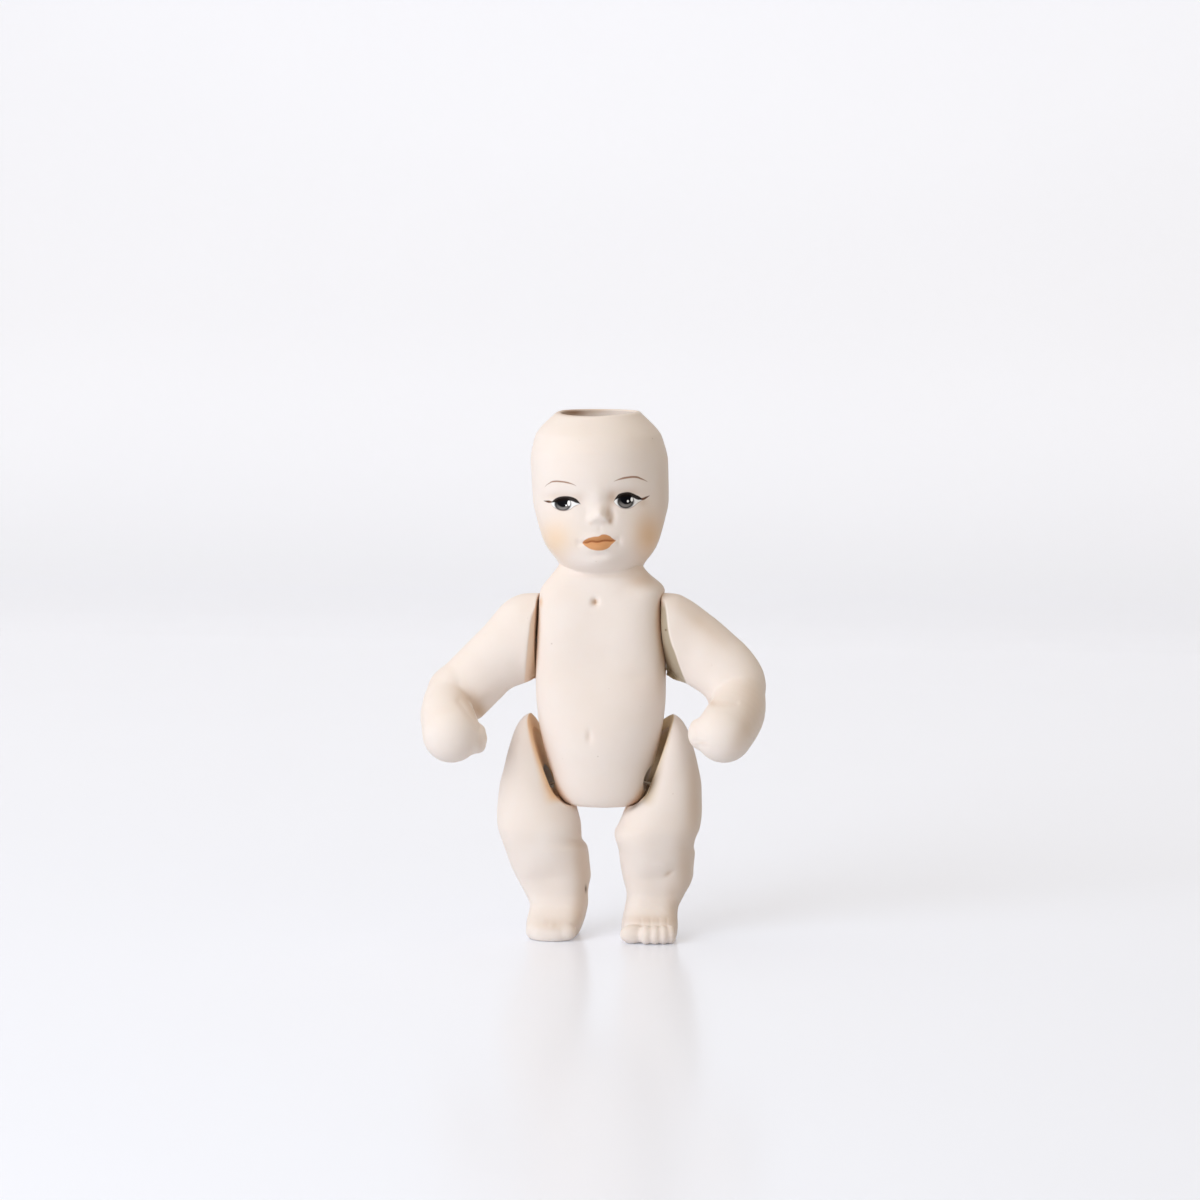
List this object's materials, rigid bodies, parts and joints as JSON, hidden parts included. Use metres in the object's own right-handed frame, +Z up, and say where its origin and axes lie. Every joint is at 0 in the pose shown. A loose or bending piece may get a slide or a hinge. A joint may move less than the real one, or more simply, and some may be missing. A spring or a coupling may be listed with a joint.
{
  "type": "strung bisque baby doll",
  "caption": "Small bare baby doll of unglazed porcelain with an open crown, painted face, bent arms and bent legs strung on elastic at shoulders and hips.",
  "frame": {"origin": "middle of the doll's bounding box, on the floor under its soles", "axes": "+Z up, -Y the way the torso faces, +X the doll's own left"},
  "size_m": [0.0694, 0.034, 0.1032],
  "materials": {
    "bisque": "matte unglazed, with a painted face",
    "steel": "drawn wire",
    "elastic": "round covered elastic"
  },
  "bodies": {
    "torso": {"head_torso": "bisque", "arm_elastic": "elastic", "leg_elastic": "elastic"},
    "arm_left": {"arm_left": "bisque", "arm_left_bar": "steel", "arm_left_hook": "steel"},
    "arm_right": {"arm_right": "bisque", "arm_right_bar": "steel", "arm_right_hook": "steel"},
    "leg_left_hook": {"leg_left_hook": "steel"},
    "leg_right_hook": {"leg_right_hook": "steel"},
    "leg_left": {"leg_left": "bisque", "leg_left_bar": "steel"},
    "leg_right": {"leg_right": "bisque", "leg_right_bar": "steel"}
  },
  "joints": [
    {"name": "shoulder_left", "type": "hinge", "parent": "torso", "child": "arm_left", "pos_m": [0.01263, 0.00332, 0.0597], "axis": [-0.999, 0, -0.0436], "range_deg": [-120, 180], "deforming": ["arm_elastic"]},
    {"name": "shoulder_right", "type": "hinge", "parent": "torso", "child": "arm_right", "pos_m": [-0.01263, 0.00332, 0.0597], "axis": [-0.999, 0, 0.0436], "range_deg": [-120, 180], "deforming": ["arm_elastic"]},
    {"name": "hip_left_turn", "type": "hinge", "parent": "torso", "child": "leg_left_hook", "pos_m": [0.00249, 0.00332, 0.03423], "axis": [0, 0, 1], "range_deg": [-20, 6], "deforming": ["leg_elastic"]},
    {"name": "hip_right_turn", "type": "hinge", "parent": "torso", "child": "leg_right_hook", "pos_m": [-0.00249, 0.00332, 0.03423], "axis": [0, 0, -1], "range_deg": [-8, 18], "deforming": ["leg_elastic"]},
    {"name": "hip_left_swing", "type": "hinge", "parent": "leg_left_hook", "child": "leg_left", "pos_m": [0.00249, 0.00332, 0.03423], "axis": [-0.9118, -0.2273, 0.342], "range_deg": [-25, 95]},
    {"name": "hip_right_swing", "type": "hinge", "parent": "leg_right_hook", "child": "leg_right", "pos_m": [-0.00249, 0.00332, 0.03423], "axis": [-0.9391, 0.0328, -0.342], "range_deg": [-25, 95]}
  ]
}
